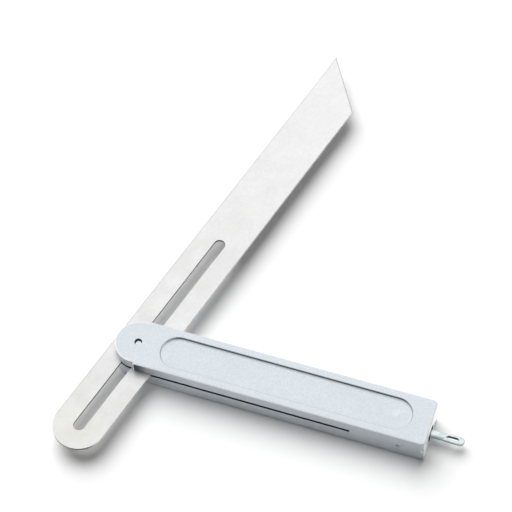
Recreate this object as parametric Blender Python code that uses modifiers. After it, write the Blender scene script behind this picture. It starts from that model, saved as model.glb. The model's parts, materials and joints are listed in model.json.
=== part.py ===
"""Sliding bevel: a cast handle, a slotted steel blade and a lock that is worked at the butt."""

import math

import bmesh
import bpy

MM = 0.001

# Handle casting
HANDLE_WIDTH = 19.0 * MM
PIVOT_TO_BUTT = 112.8 * MM
HEAD_STEP = 0.8 * MM
SHOULDER_REACH = 0.9 * MM
BUTT_CORNER = 1.8 * MM
EDGE_ROUND = 0.5 * MM
SHOULDER_MARGIN = 0.1 * MM
UPPER_CHEEK = 4.5 * MM
LOWER_CHEEK = 6.2 * MM
SLIT_CLEARANCE = 0.15 * MM
BUTT_SOLID = 28.1 * MM

# Recessed panels of the handle
PANEL_START = 9.05 * MM
PANEL_BUTT_RIM = 7.4 * MM
PANEL_SIDE_RIM = 3.0 * MM
TOP_PANEL_DEPTH = 0.9 * MM
UNDER_PANEL_DEPTH = 0.6 * MM

# Blade
BLADE_WIDTH = 20.0 * MM
BLADE_THICKNESS = 1.0 * MM
PIVOT_TO_TIP = 155.56 * MM
PIVOT_TO_ROUND_END = 48.05 * MM
SLOT_WIDTH = 4.48 * MM
SLOT_TIP_END = 56.4 * MM
SLOT_END_RIM = 7.57 * MM
BLADE_ANGLE = math.radians(75.43)
TIP_ANGLE = math.radians(45.0)

# Clamp stud and the block that guides the blade along its slot
STUD_NECK_RADIUS = 1.25 * MM
STUD_SHANK_RADIUS = 2.1 * MM
STUD_TOP_DEPTH = 0.8 * MM
STUD_FOOT_DEPTH = 0.6 * MM
STUD_SHOULDER_DROP = 0.2 * MM
STUD_CLEARANCE = 0.1 * MM
STUD_CHAMFER = 0.25 * MM
DRIVER_SLOT_WIDTH = 0.7 * MM
DRIVER_SLOT_DEPTH = 0.8 * MM
GUIDE_LENGTH = 7.0 * MM
GUIDE_CLEARANCE = 0.14 * MM
GUIDE_BORE_CLEARANCE = 0.15 * MM

# Wedge rod in the lower cheek
ROD_ROOF = 0.55 * MM
ROD_RADIUS = 1.4 * MM
ROD_CLEARANCE = 0.15 * MM
ROD_NOSE_RADIUS = 0.5 * MM
ROD_NOSE_OVERREACH = 1.0 * MM
ROD_TAPER_LENGTH = 3.2 * MM
ROD_TAIL_GAP = 0.8 * MM
ROD_CHAMFER = 0.3 * MM
FLAT_DEPTH = 0.3 * MM
FLAT_TRAVEL = 0.45 * MM

# Cross pin that keeps the rod from turning
PIN_RADIUS = 0.8 * MM
PIN_SETBACK = 1.75 * MM
PIN_CLEARANCE = 0.1 * MM
PIN_FLAT_GAP = 0.15 * MM
PIN_END_DEPTH = 0.35 * MM

# Threaded bush in the butt
BUSH_RADIUS = 2.4 * MM
BUSH_LENGTH = 4.6 * MM
BUSH_CLEARANCE = 0.1 * MM
BUSH_SEAT_GAP = 0.3 * MM
MOUTH_RADIUS = 3.25 * MM
MOUTH_DEPTH = 2.8 * MM

# Lock screw with its flattened eye
SCREW_RADIUS = 1.5 * MM
SCREW_CLEARANCE = 0.1 * MM
SCREW_NOSE_GAP = 0.1 * MM
SCREW_CHAMFER = 0.3 * MM
NECK_LENGTH = 5.6 * MM
NECK_TAPER = 1.6 * MM
NECK_TAPER_SHARE = 0.45
EYE_LENGTH = 7.1 * MM
EYE_OVERLAP = 2.0 * MM
EYE_RIM = 1.15 * MM
EYE_THICKNESS = 1.6 * MM
EYE_ROUND = 0.35 * MM
EYE_ROOT_RIM = 0.4 * MM
EYE_END_RIM = 2.2 * MM
EYE_SLOT_WIDTH = 1.1 * MM

# Modelling values
OVERRUN = 1.0 * MM
WELD = 0.01 * MM
ARC_STEPS = 40
CORNER_STEPS = 6
ROUND_STEPS = 40
EDGE_STEPS = 2
QUARTER_TURN = math.pi / 2

# Sizes that follow from the ones above
HEAD_RADIUS = HANDLE_WIDTH / 2 - HEAD_STEP
SHOULDER_ROUND = EDGE_ROUND + SHOULDER_MARGIN
SLIT_HEIGHT = BLADE_THICKNESS + 2 * SLIT_CLEARANCE
SLIT_TOP = LOWER_CHEEK + SLIT_HEIGHT
SLIT_REACH = PIVOT_TO_BUTT - BUTT_SOLID
HANDLE_THICKNESS = SLIT_TOP + UPPER_CHEEK
PANEL_END = PIVOT_TO_BUTT - PANEL_BUTT_RIM
PANEL_WIDTH = HANDLE_WIDTH - 2 * PANEL_SIDE_RIM
BLADE_BOTTOM = LOWER_CHEEK + SLIT_CLEARANCE
BLADE_MIDDLE = BLADE_BOTTOM + BLADE_THICKNESS / 2
ROUND_CENTRE = PIVOT_TO_ROUND_END - BLADE_WIDTH / 2
SLOT_ROUND_END = PIVOT_TO_ROUND_END - SLOT_END_RIM
LOCK_HEIGHT = LOWER_CHEEK - ROD_ROOF - ROD_CLEARANCE - ROD_RADIUS
PIN_HEIGHT = ROD_RADIUS - FLAT_DEPTH + PIN_FLAT_GAP + PIN_RADIUS
MOUTH_FLOOR = PIVOT_TO_BUTT - MOUTH_DEPTH
BUSH_START = MOUTH_FLOOR - BUSH_LENGTH
ROD_TAIL = BUSH_START - ROD_TAIL_GAP
PIN_REACH = ROD_TAIL - PIN_SETBACK
NECK_REACH = PIVOT_TO_BUTT + NECK_LENGTH
EYE_REACH = NECK_REACH + EYE_LENGTH
EYE_ROOT = NECK_REACH - EYE_OVERLAP
EYE_WIDTH = EYE_SLOT_WIDTH + 2 * EYE_RIM
EYE_SLOT_START = NECK_REACH + EYE_ROOT_RIM
EYE_SLOT_END = EYE_REACH - EYE_END_RIM
LEFT_LIMIT = -(ROUND_CENTRE * math.cos(BLADE_ANGLE) + BLADE_WIDTH / 2)
NEAR_LIMIT = -(ROUND_CENTRE * math.sin(BLADE_ANGLE) + BLADE_WIDTH / 2)
FAR_LIMIT = PIVOT_TO_TIP * math.sin(BLADE_ANGLE) + BLADE_WIDTH / 2 * math.cos(BLADE_ANGLE)
CENTRE_X = (LEFT_LIMIT + EYE_REACH) / 2
CENTRE_Y = (NEAR_LIMIT + FAR_LIMIT) / 2


def clear_scene():
    for obj in list(bpy.data.objects):
        bpy.data.objects.remove(obj)


def new_collection(name):
    collection = bpy.data.collections.new(name)
    bpy.context.scene.collection.children.link(collection)
    return collection


def new_material(name, colour, metallic, roughness):
    material = bpy.data.materials.new(name)
    material.use_nodes = True
    shader = material.node_tree.nodes["Principled BSDF"]
    shader.inputs["Base Color"].default_value = (*colour, 1.0)
    shader.inputs["Metallic"].default_value = metallic
    shader.inputs["Roughness"].default_value = roughness
    return material


def new_empty(name, collection, parent, location, rotation):
    empty = bpy.data.objects.new(name, None)
    empty.parent = parent
    empty.location = location
    empty.rotation_euler = rotation
    collection.objects.link(empty)
    return empty


def add_object(name, mesh, collection, parent, location=(0, 0, 0)):
    obj = bpy.data.objects.new(name, mesh)
    obj.parent = parent
    obj.location = location
    collection.objects.link(obj)
    return obj


def as_cutter(obj):
    obj.hide_render = True
    obj.display_type = "WIRE"
    return obj


def shade(obj, material):
    obj.data.materials.clear()
    obj.data.materials.append(material)
    obj.data.shade_smooth()
    obj.data.set_sharp_from_angle(angle=math.radians(35.0))


def add_boolean(obj, other, operation="DIFFERENCE"):
    modifier = obj.modifiers.new(other.name, "BOOLEAN")
    modifier.operation = operation
    modifier.solver = "EXACT"
    modifier.object = other


def arc(centre, radius, start, end, steps):
    angles = [start + (end - start) * i / steps for i in range(steps + 1)]
    return [(centre[0] + radius * math.cos(a), centre[1] + radius * math.sin(a)) for a in angles]


def stadium(start, end, width):
    radius = width / 2
    right = arc((end - radius, 0), radius, -QUARTER_TURN, QUARTER_TURN, ARC_STEPS // 2)
    left = arc((start + radius, 0), radius, QUARTER_TURN, 3 * QUARTER_TURN, ARC_STEPS // 2)
    return right + left


def outline_mesh(name, loops, thickness):
    curve = bpy.data.curves.new(name, "CURVE")
    curve.dimensions = "2D"
    curve.fill_mode = "BOTH"
    curve.extrude = thickness / 2
    for points in loops:
        spline = curve.splines.new("POLY")
        spline.points.add(len(points) - 1)
        spline.use_cyclic_u = True
        for target, (x, y) in zip(spline.points, points):
            target.co = (x, y, 0, 1)
    flat = bpy.data.objects.new(name, curve)
    bpy.context.scene.collection.objects.link(flat)
    graph = bpy.context.evaluated_depsgraph_get()
    mesh = bpy.data.meshes.new_from_object(flat.evaluated_get(graph))
    bpy.data.objects.remove(flat)
    bpy.data.curves.remove(curve)
    work = bmesh.new()
    work.from_mesh(mesh)
    bmesh.ops.remove_doubles(work, verts=work.verts, dist=WELD)
    if len(loops) == 1:
        bmesh.ops.dissolve_limit(work, angle_limit=math.radians(0.5), verts=work.verts, edges=work.edges)
    bmesh.ops.recalc_face_normals(work, faces=work.faces)
    work.to_mesh(mesh)
    work.free()
    return mesh


def round_rims(mesh, width, steps):
    work = bmesh.new()
    work.from_mesh(mesh)
    top = max(v.co.z for v in work.verts)
    rims = [
        e for e in work.edges
        if abs(e.verts[0].co.z - e.verts[1].co.z) < WELD
        and abs(abs(e.verts[0].co.z) - top) < WELD
        and e.calc_face_angle(0) > math.radians(45.0)
    ]
    bmesh.ops.bevel(work, geom=rims, offset=width, segments=steps, profile=0.5, affect="EDGES")
    work.to_mesh(mesh)
    work.free()


def block_mesh(name, low, high):
    mesh = bpy.data.meshes.new(name)
    work = bmesh.new()
    bmesh.ops.create_cube(work, size=1.0)
    for vert in work.verts:
        for axis in range(3):
            vert.co[axis] = high[axis] if vert.co[axis] > 0 else low[axis]
    work.to_mesh(mesh)
    work.free()
    return mesh


def turned(name, profile, collection, parent):
    mesh = bpy.data.meshes.new(name)
    count = len(profile)
    closed = profile[0][0] > 0 and profile[-1][0] > 0
    edges = [(i, i + 1) for i in range(count - 1)]
    if closed:
        edges.append((count - 1, 0))
    mesh.from_pydata([(r, 0, z) for r, z in profile], edges, [])
    obj = add_object(name, mesh, collection, parent)
    screw = obj.modifiers.new("Turn", "SCREW")
    screw.steps = ROUND_STEPS
    screw.render_steps = ROUND_STEPS
    screw.use_merge_vertices = True
    screw.merge_threshold = WELD
    screw.use_smooth_shade = True
    return obj


def handle_outline():
    half = HANDLE_WIDTH / 2
    corner = PIVOT_TO_BUTT - BUTT_CORNER
    inner = half - BUTT_CORNER
    opening = math.acos(SHOULDER_REACH / HEAD_RADIUS)
    shoulder = (SHOULDER_REACH + SHOULDER_ROUND, half - SHOULDER_ROUND)
    points = arc((corner, -inner), BUTT_CORNER, -QUARTER_TURN, 0, CORNER_STEPS)
    points += arc((corner, inner), BUTT_CORNER, 0, QUARTER_TURN, CORNER_STEPS)
    points += arc(shoulder, SHOULDER_ROUND, QUARTER_TURN, 2 * QUARTER_TURN, CORNER_STEPS // 2)
    points += arc((0, 0), HEAD_RADIUS, opening, 4 * QUARTER_TURN - opening, ARC_STEPS)
    points += arc(
        (shoulder[0], -shoulder[1]), SHOULDER_ROUND, 2 * QUARTER_TURN, 3 * QUARTER_TURN, CORNER_STEPS // 2
    )
    return points


def build_handle(parts, cutters, frame, lock, material):
    mesh = outline_mesh("handle_body", [handle_outline()], HANDLE_THICKNESS)
    round_rims(mesh, EDGE_ROUND, EDGE_STEPS)
    handle = add_object("handle_body", mesh, parts, frame, (0, 0, HANDLE_THICKNESS / 2))
    half = HANDLE_WIDTH / 2 + OVERRUN
    slit = block_mesh(
        "slit", (-HEAD_RADIUS - OVERRUN, -half, LOWER_CHEEK), (SLIT_REACH, half, SLIT_TOP)
    )
    add_boolean(handle, as_cutter(add_object("slit", slit, cutters, frame)))
    for name, depth, face in (
        ("top_panel", TOP_PANEL_DEPTH, HANDLE_THICKNESS),
        ("under_panel", UNDER_PANEL_DEPTH, 0),
    ):
        panel = outline_mesh(name, [stadium(PANEL_START, PANEL_END, PANEL_WIDTH)], 2 * depth)
        add_boolean(handle, as_cutter(add_object(name, panel, cutters, frame, (0, 0, face))))
    neck_hole = STUD_NECK_RADIUS + STUD_CLEARANCE
    shank_hole = STUD_SHANK_RADIUS + STUD_CLEARANCE
    middle = LOWER_CHEEK + SLIT_HEIGHT / 2
    stud_bore = turned("stud_bore", [
        (0, HANDLE_THICKNESS + OVERRUN),
        (neck_hole, HANDLE_THICKNESS + OVERRUN),
        (neck_hole, middle),
        (shank_hole, middle),
        (shank_hole, -OVERRUN),
        (0, -OVERRUN),
    ], cutters, frame)
    add_boolean(handle, as_cutter(stud_bore))
    rod_hole = ROD_RADIUS + ROD_CLEARANCE
    bush_hole = BUSH_RADIUS + BUSH_CLEARANCE
    seat = BUSH_START - BUSH_SEAT_GAP
    lock_bore = turned("lock_bore", [
        (0, PIVOT_TO_BUTT + OVERRUN),
        (MOUTH_RADIUS, PIVOT_TO_BUTT + OVERRUN),
        (MOUTH_RADIUS, MOUTH_FLOOR),
        (bush_hole, MOUTH_FLOOR),
        (bush_hole, seat),
        (rod_hole, seat),
        (rod_hole, 0),
        (0, 0),
    ], cutters, lock)
    add_boolean(handle, as_cutter(lock_bore))
    pin_hole = turned("pin_hole", rod_profile(PIN_RADIUS + PIN_CLEARANCE, half), cutters, frame)
    place_across(pin_hole)
    add_boolean(handle, as_cutter(pin_hole))
    shade(handle, material)


def rod_profile(radius, half_length):
    return [(0, half_length), (radius, half_length), (radius, -half_length), (0, -half_length)]


def place_across(obj):
    obj.location = (PIN_REACH, 0, LOCK_HEIGHT + PIN_HEIGHT)
    obj.rotation_euler = (QUARTER_TURN, 0, 0)


def build_blade(parts, pivot, material):
    half = BLADE_WIDTH / 2
    heel = PIVOT_TO_TIP - BLADE_WIDTH / math.tan(TIP_ANGLE)
    outer = [(heel, -half), (PIVOT_TO_TIP, half)]
    outer += arc((-ROUND_CENTRE, 0), half, QUARTER_TURN, 3 * QUARTER_TURN, ARC_STEPS)
    slot = stadium(-SLOT_ROUND_END, SLOT_TIP_END, SLOT_WIDTH)
    mesh = outline_mesh("blade", [outer, slot], BLADE_THICKNESS)
    blade = add_object("blade", mesh, parts, pivot, (0, 0, BLADE_MIDDLE))
    shade(blade, material)


def build_guide(parts, cutters, pivot, material):
    width = SLOT_WIDTH - 2 * GUIDE_CLEARANCE
    outer = stadium(-GUIDE_LENGTH / 2, GUIDE_LENGTH / 2, width)
    bore = arc((0, 0), STUD_NECK_RADIUS + GUIDE_BORE_CLEARANCE, 0, 4 * QUARTER_TURN, ROUND_STEPS)[:-1]
    mesh = outline_mesh("guide_block", [outer, bore], BLADE_THICKNESS)
    guide = add_object("guide_block", mesh, parts, pivot, (0, 0, BLADE_MIDDLE))
    shade(guide, material)


def nose_profile(gap):
    tip = -ROD_NOSE_OVERREACH
    shoulder = tip + ROD_TAPER_LENGTH
    return [(ROD_RADIUS + gap, shoulder), (ROD_NOSE_RADIUS + gap, tip - gap), (0, tip - gap)]


def build_stud(parts, cutters, frame, lock, material):
    top = HANDLE_THICKNESS - STUD_TOP_DEPTH
    shoulder = LOWER_CHEEK - STUD_SHOULDER_DROP
    stud = turned("clamp_stud", [
        (0, top),
        (STUD_NECK_RADIUS - STUD_CHAMFER, top),
        (STUD_NECK_RADIUS, top - STUD_CHAMFER),
        (STUD_NECK_RADIUS, shoulder),
        (STUD_SHANK_RADIUS - STUD_CHAMFER, shoulder),
        (STUD_SHANK_RADIUS, shoulder - STUD_CHAMFER),
        (STUD_SHANK_RADIUS, STUD_FOOT_DEPTH + STUD_CHAMFER),
        (STUD_SHANK_RADIUS - STUD_CHAMFER, STUD_FOOT_DEPTH),
        (0, STUD_FOOT_DEPTH),
    ], parts, frame)
    reach = STUD_SHANK_RADIUS + OVERRUN
    seat = turned(
        "wedge_seat",
        [(0, reach), (ROD_RADIUS + ROD_CLEARANCE, reach)] + nose_profile(ROD_CLEARANCE),
        cutters, lock,
    )
    add_boolean(stud, as_cutter(seat))
    half_slot = DRIVER_SLOT_WIDTH / 2
    slot = block_mesh(
        "driver_slot",
        (-reach, -half_slot, STUD_FOOT_DEPTH - OVERRUN),
        (reach, half_slot, STUD_FOOT_DEPTH + DRIVER_SLOT_DEPTH),
    )
    add_boolean(stud, as_cutter(add_object("driver_slot", slot, cutters, frame)))
    shade(stud, material)


def build_rod(parts, cutters, lock, material):
    rod = turned("wedge_rod", [
        (0, ROD_TAIL),
        (ROD_RADIUS - ROD_CHAMFER, ROD_TAIL),
        (ROD_RADIUS, ROD_TAIL - ROD_CHAMFER),
    ] + nose_profile(0), parts, lock)
    floor = ROD_RADIUS - FLAT_DEPTH
    reach = PIN_RADIUS + FLAT_TRAVEL
    flat = block_mesh(
        "rod_flat",
        (-ROD_RADIUS - OVERRUN, -ROD_RADIUS - OVERRUN, PIN_REACH - reach),
        (-floor, ROD_RADIUS + OVERRUN, PIN_REACH + reach),
    )
    add_boolean(rod, as_cutter(add_object("rod_flat", flat, cutters, lock)))
    shade(rod, material)


def build_pin(parts, frame, material):
    half_length = HANDLE_WIDTH / 2 - PIN_END_DEPTH
    pin = turned("rod_pin", rod_profile(PIN_RADIUS, half_length), parts, frame)
    place_across(pin)
    shade(pin, material)


def build_bush(parts, lock, material):
    bore = SCREW_RADIUS + SCREW_CLEARANCE
    bush = turned("thread_bush", [
        (bore, MOUTH_FLOOR),
        (BUSH_RADIUS, MOUTH_FLOOR),
        (BUSH_RADIUS, BUSH_START),
        (bore, BUSH_START),
    ], parts, lock)
    shade(bush, material)


def build_screw(parts, cutters, frame, lock, material):
    nose = ROD_TAIL + SCREW_NOSE_GAP
    screw = turned("lock_screw", [
        (0, NECK_REACH),
        (SCREW_RADIUS * NECK_TAPER_SHARE, NECK_REACH),
        (SCREW_RADIUS, NECK_REACH - NECK_TAPER),
        (SCREW_RADIUS, nose + SCREW_CHAMFER),
        (SCREW_RADIUS - SCREW_CHAMFER, nose),
        (0, nose),
    ], parts, lock)
    outer = stadium(EYE_ROOT, EYE_REACH, EYE_WIDTH)
    mesh = outline_mesh("eye_blank", [outer], EYE_THICKNESS)
    round_rims(mesh, EYE_ROUND, EDGE_STEPS)
    eye = as_cutter(add_object("eye_blank", mesh, cutters, frame, (0, 0, LOCK_HEIGHT)))
    add_boolean(screw, eye, "UNION")
    hole = outline_mesh(
        "eye_slot", [stadium(EYE_SLOT_START, EYE_SLOT_END, EYE_SLOT_WIDTH)], EYE_THICKNESS + OVERRUN
    )
    add_boolean(screw, as_cutter(add_object("eye_slot", hole, cutters, frame, (0, 0, LOCK_HEIGHT))))
    shade(screw, material)


def build_bevel():
    clear_scene()
    parts = new_collection("sliding_bevel")
    cutters = new_collection("cutters")
    frame = new_empty("bevel_frame", parts, None, (-CENTRE_X, -CENTRE_Y, 0), (0, 0, 0))
    pivot = new_empty("pivot_axis", parts, frame, (0, 0, 0), (0, 0, BLADE_ANGLE))
    lock = new_empty("lock_axis", parts, frame, (0, 0, LOCK_HEIGHT), (0, QUARTER_TURN, 0))
    casting = new_material("casting", (0.66, 0.70, 0.75), 1.0, 0.45)
    stainless = new_material("stainless", (0.80, 0.80, 0.79), 1.0, 0.30)
    plating = new_material("plating", (0.78, 0.82, 0.82), 1.0, 0.16)
    steel = new_material("steel", (0.55, 0.56, 0.57), 1.0, 0.32)
    brass = new_material("brass", (0.74, 0.60, 0.30), 1.0, 0.34)
    build_handle(parts, cutters, frame, lock, casting)
    build_blade(parts, pivot, stainless)
    build_guide(parts, cutters, pivot, brass)
    build_stud(parts, cutters, frame, lock, steel.copy())
    build_rod(parts, cutters, lock, steel.copy())
    build_pin(parts, frame, steel.copy())
    build_bush(parts, lock, brass.copy())
    build_screw(parts, cutters, frame, lock, plating)


build_bevel()
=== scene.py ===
# %% [markdown]
# # A sliding bevel, dressed for its picture
# The tool has a cast metal handle, split by a slit, and a slotted steel blade that turns and slides in
# that slit. A screw with a flattened eye at the butt drives a wedge rod through the pivot stud, which
# draws the stud down and clamps the blade. The CAD model gives every piece its place. This lesson loads
# it as a fixed frame and gives the pieces that are seen finer shapes and metal finishes.

import json
import math

import bmesh
import bpy
from mathutils import Matrix, Vector

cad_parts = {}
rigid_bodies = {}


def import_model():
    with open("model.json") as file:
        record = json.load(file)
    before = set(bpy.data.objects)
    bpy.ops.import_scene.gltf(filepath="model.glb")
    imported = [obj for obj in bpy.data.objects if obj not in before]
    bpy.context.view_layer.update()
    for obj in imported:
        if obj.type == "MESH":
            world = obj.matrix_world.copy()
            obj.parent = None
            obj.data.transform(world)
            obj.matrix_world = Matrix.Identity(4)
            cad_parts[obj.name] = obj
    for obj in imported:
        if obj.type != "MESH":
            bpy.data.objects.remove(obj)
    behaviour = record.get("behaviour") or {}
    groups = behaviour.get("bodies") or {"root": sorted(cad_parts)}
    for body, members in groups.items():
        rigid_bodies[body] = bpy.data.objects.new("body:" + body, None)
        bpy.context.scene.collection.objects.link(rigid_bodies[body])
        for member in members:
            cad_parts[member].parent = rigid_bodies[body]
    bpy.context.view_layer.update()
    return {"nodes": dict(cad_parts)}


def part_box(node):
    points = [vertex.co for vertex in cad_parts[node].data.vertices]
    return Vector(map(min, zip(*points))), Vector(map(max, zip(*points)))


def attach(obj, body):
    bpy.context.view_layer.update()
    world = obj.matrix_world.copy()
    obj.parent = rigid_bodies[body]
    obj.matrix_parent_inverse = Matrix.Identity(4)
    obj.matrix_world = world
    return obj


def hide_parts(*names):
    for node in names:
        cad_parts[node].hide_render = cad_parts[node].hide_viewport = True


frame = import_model()
print("nodes:", sorted(frame["nodes"]))

# %% [markdown]
# ## The pivot is where measuring starts
# On a bevel everything is set out from the pivot, so the sizes below are in millimetres from it: X runs
# along the handle to the butt, Z is up. The clamp stud stands on the pivot and the threaded bush on the
# lock's axis, so the CAD boxes of these two say where both are in the frame.

# %% Find the pivot and the lock's axis
MM = 0.001

low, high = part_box("clamp_stud")
pivot = Vector(((low.x + high.x) / 2, (low.y + high.y) / 2, 0))
low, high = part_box("thread_bush")
LOCK_HEIGHT = (low.z + high.z) / 2 / MM
to_frame = Matrix.Translation(pivot) @ Matrix.Scale(MM, 4)
print("pivot at", tuple(round(c, 5) for c in pivot), "lock axis at", round(LOCK_HEIGHT, 3), "mm")

# %% [markdown]
# ## Camera
# The picture is taken with a long lens from the near side of the handle, a little past the butt, and
# looks down at about 57 degrees. A long lens keeps the blade's two edges almost parallel.

# %% Camera
CAMERA_PLACE = (0.126066, -0.398033, 0.66251)
CAMERA_TURN = (32.8947, 1.5079, 18.4311)
portrait = bpy.data.cameras.new("portrait")
portrait.sensor_width = 36
portrait.lens = 143.33
camera = bpy.data.objects.new("portrait", portrait)
camera.location = CAMERA_PLACE
camera.rotation_euler = [math.radians(a) for a in CAMERA_TURN]
bpy.context.scene.collection.objects.link(camera)
bpy.context.scene.camera = camera
bpy.context.scene.view_settings.view_transform = "Standard"
print("camera", portrait.lens, "mm lens,", round(camera.location.length, 3), "m from the object's centre")

# %% [markdown]
# ## Helpers for nodes
# Every material is a small graph of nodes. These helpers keep its lines short. The first feeds a socket
# with a plain value or a link, and the others each add one kind of node. A ramp rises from 0 at its start
# to 1 at its end, and falls where its start is the larger value. Names of the settings are Blender's own.


# %% Node helpers
def feed(tree, socket, value):
    if isinstance(value, bpy.types.NodeSocket):
        tree.links.new(value, socket)
    else:
        socket.default_value = value


def add_node(tree, kind, settings=None, **inputs):
    node = tree.nodes.new("ShaderNode" + kind)
    for key, value in (settings or {}).items():
        setattr(node, key, value)
    for key, value in inputs.items():
        feed(tree, node.inputs[key.replace("_", " ")], value)
    return node


def maths(tree, operation, first, second=0.5, third=0.5):
    node = add_node(tree, "Math", {"operation": operation})
    for socket, value in zip(node.inputs, (first, second, third)):
        feed(tree, socket, value)
    return node.outputs[0]


def product(tree, first, *others):
    for other in others:
        first = maths(tree, "MULTIPLY", first, other)
    return first


def ramp(tree, value, start, end, kind="SMOOTHSTEP"):
    node = add_node(tree, "MapRange", {"interpolation_type": kind}, Value=value, From_Min=start, From_Max=end)
    return node.outputs["Result"]


def vector_maths(tree, operation, first, second=(0, 0, 0)):
    node = add_node(tree, "VectorMath", {"operation": operation})
    feed(tree, node.inputs[0], first)
    feed(tree, node.inputs[1], second)
    measures = operation in ("DOT_PRODUCT", "LENGTH", "DISTANCE")
    return node.outputs["Value" if measures else "Vector"]


def parts(tree, vector):
    return add_node(tree, "SeparateXYZ", None, Vector=vector).outputs


def length(tree, x, y, z):
    return vector_maths(tree, "LENGTH", add_node(tree, "CombineXYZ", None, X=x, Y=y, Z=z).outputs["Vector"])


def noise(tree, vector, scale, detail, roughness=0.5):
    return add_node(tree, "TexNoise", {"noise_dimensions": "3D"}, Vector=vector, Scale=scale,
                    Detail=detail, Roughness=roughness).outputs["Fac"]


print("node helpers ready")


# %% [markdown]
# A finish is built up in coats. Each coat lays a tint over the colour below it, as far as its masks let it.

# %% Coats of colour
def blend_colours(tree, share, first, second):
    node = add_node(tree, "Mix", {"data_type": "RGBA"})
    sockets = {socket.identifier: socket for socket in node.inputs}
    feed(tree, sockets["Factor_Float"], share)
    for name, value in (("A_Color", first), ("B_Color", second)):
        feed(tree, sockets[name], (*value, 1.0) if isinstance(value, tuple) else value)
    return next(socket for socket in node.outputs if socket.identifier == "Result_Color")


def coat(tree, colour, tint, *masks):
    return blend_colours(tree, product(tree, *masks), colour, tint)


def grey(level):
    return (level, level, level)


def new_tree(name):
    material = bpy.data.materials.new(name)
    material.use_nodes = True
    tree = material.node_tree
    return material, tree, tree.nodes["Principled BSDF"]


def surface(tree, shader, colour, roughness, metallic):
    feed(tree, shader.inputs["Base Color"], colour)
    feed(tree, shader.inputs["Roughness"], roughness)
    feed(tree, shader.inputs["Metallic"], metallic)


print("coat helpers ready")


# %% [markdown]
# ## Floor, world and lamp
# The tool lies on a white sweep. The floor is a pale matt plane that keeps the tool's shadow. The world
# is plain white to the camera and to reflections, so metal shows a white room, and dim to matt surfaces,
# so that the shadow isn't washed out. The one lamp stands to the upper left and is as wide as a near
# window, because the shadow in the picture fades out within a few millimetres. It isn't mirrored in the
# metal, where it would show as a disc.

# %% What the camera and reflections see
WHITE = (1.0, 1.0, 1.0, 1.0)


def seen_directly(tree):
    path = add_node(tree, "LightPath").outputs
    seen = maths(tree, "MAXIMUM", path["Is Camera Ray"], path["Is Glossy Ray"])
    return maths(tree, "MAXIMUM", seen, path["Is Transmission Ray"])


print("white level", WHITE[0])

# %% Floor
FLOOR_GLOW = 0.03
FLOOR_HALF_WIDTH = 4.0
floor_material, tree, shader = new_tree("white_sweep")
shader.inputs["Base Color"].default_value = (*grey(0.92), 1.0)
shader.inputs["Roughness"].default_value = 0.9
shader.inputs["Specular IOR Level"].default_value = 0.1
shader.inputs["Emission Color"].default_value = WHITE
tree.links.new(product(tree, seen_directly(tree), FLOOR_GLOW), shader.inputs["Emission Strength"])

work = bmesh.new()
bmesh.ops.create_grid(work, x_segments=1, y_segments=1, size=FLOOR_HALF_WIDTH)
mesh = bpy.data.meshes.new("floor")
work.to_mesh(mesh)
work.free()
mesh.materials.append(floor_material)
floor = bpy.data.objects.new("floor", mesh)
bpy.context.scene.collection.objects.link(floor)
print("floor", [round(c, 2) for c in floor.dimensions])

# %% World
ROOM_LIGHT = 0.07
world = bpy.data.worlds.new("white_room")
world.use_nodes = True
world.cycles.sampling_method = "NONE"
bpy.context.scene.world = world
tree = world.node_tree
strength = maths(tree, "MULTIPLY_ADD", seen_directly(tree), 1.0 - ROOM_LIGHT, ROOM_LIGHT)
background = tree.nodes["Background"]
background.inputs["Color"].default_value = WHITE
tree.links.new(strength, background.inputs["Strength"])
print("room light", ROOM_LIGHT)

# %% Lamp
WINDOW_TOWARDS = Vector((-0.369, 0.439, 0.819)).normalized()
WINDOW_HALF_ANGLE = 30.0
LAMP_SHARE = 1.02
window_data = bpy.data.lights.new("soft_window", "SUN")
window_data.angle = math.radians(2 * WINDOW_HALF_ANGLE)
window_data.energy = LAMP_SHARE * math.pi / WINDOW_TOWARDS.z
window = bpy.data.objects.new("soft_window", window_data)
window.rotation_euler = WINDOW_TOWARDS.to_track_quat("Z", "Y").to_euler()
window.visible_glossy = False
bpy.context.scene.collection.objects.link(window)
print("window light", round(window_data.energy, 2), "W per square metre")

# %% [markdown]
# ## Shared surface effects
# Two effects come back on several metals. **Grain** is the fine speckle that a mould or a rolling mill
# leaves: two sizes of noise make the height, and a slower noise makes patches. **Edge wear and highlight**
# marks the rims, partly as wear that hands polish and partly as a painted highlight: the Bevel node rounds
# the normal, and where that differs from the shape's own normal, there is an edge. Both are node groups,
# built once and placed with values for each metal.


# %% Shader group: grain
def new_group(name, inputs, outputs):
    group = bpy.data.node_groups.new(name, "ShaderNodeTree")
    for label, kind, value in inputs:
        socket = group.interface.new_socket(label, in_out="INPUT", socket_type=kind)
        if value is not None:
            socket.default_value = value
    for label in outputs:
        group.interface.new_socket(label, in_out="OUTPUT", socket_type="NodeSocketFloat")
    given = group.nodes.new("NodeGroupInput").outputs
    return group, given, group.nodes.new("NodeGroupOutput").inputs


COARSE_SCALE = 0.35
COARSE_HEIGHT = 0.7
grain_group, given, result = new_group(
    "surface_grain",
    [("Vector", "NodeSocketVector", None), ("Grain Scale", "NodeSocketFloat", 3000.0),
     ("Patch Scale", "NodeSocketFloat", 60.0)],
    ["Height", "Speckle", "Patches"],
)
fine = noise(grain_group, given["Vector"], given["Grain Scale"], 2.0, 0.6)
coarse = noise(grain_group, given["Vector"], product(grain_group, given["Grain Scale"], COARSE_SCALE), 2.0)
patches = noise(grain_group, given["Vector"], given["Patch Scale"], 3.0, 0.55)
feed(grain_group, result["Height"], maths(grain_group, "MULTIPLY_ADD", coarse, COARSE_HEIGHT, fine))
feed(grain_group, result["Speckle"], ramp(grain_group, coarse, 0.35, 0.65, "LINEAR"))
feed(grain_group, result["Patches"], ramp(grain_group, patches, 0.3, 0.7, "LINEAR"))
print("group", grain_group.name)
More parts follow.
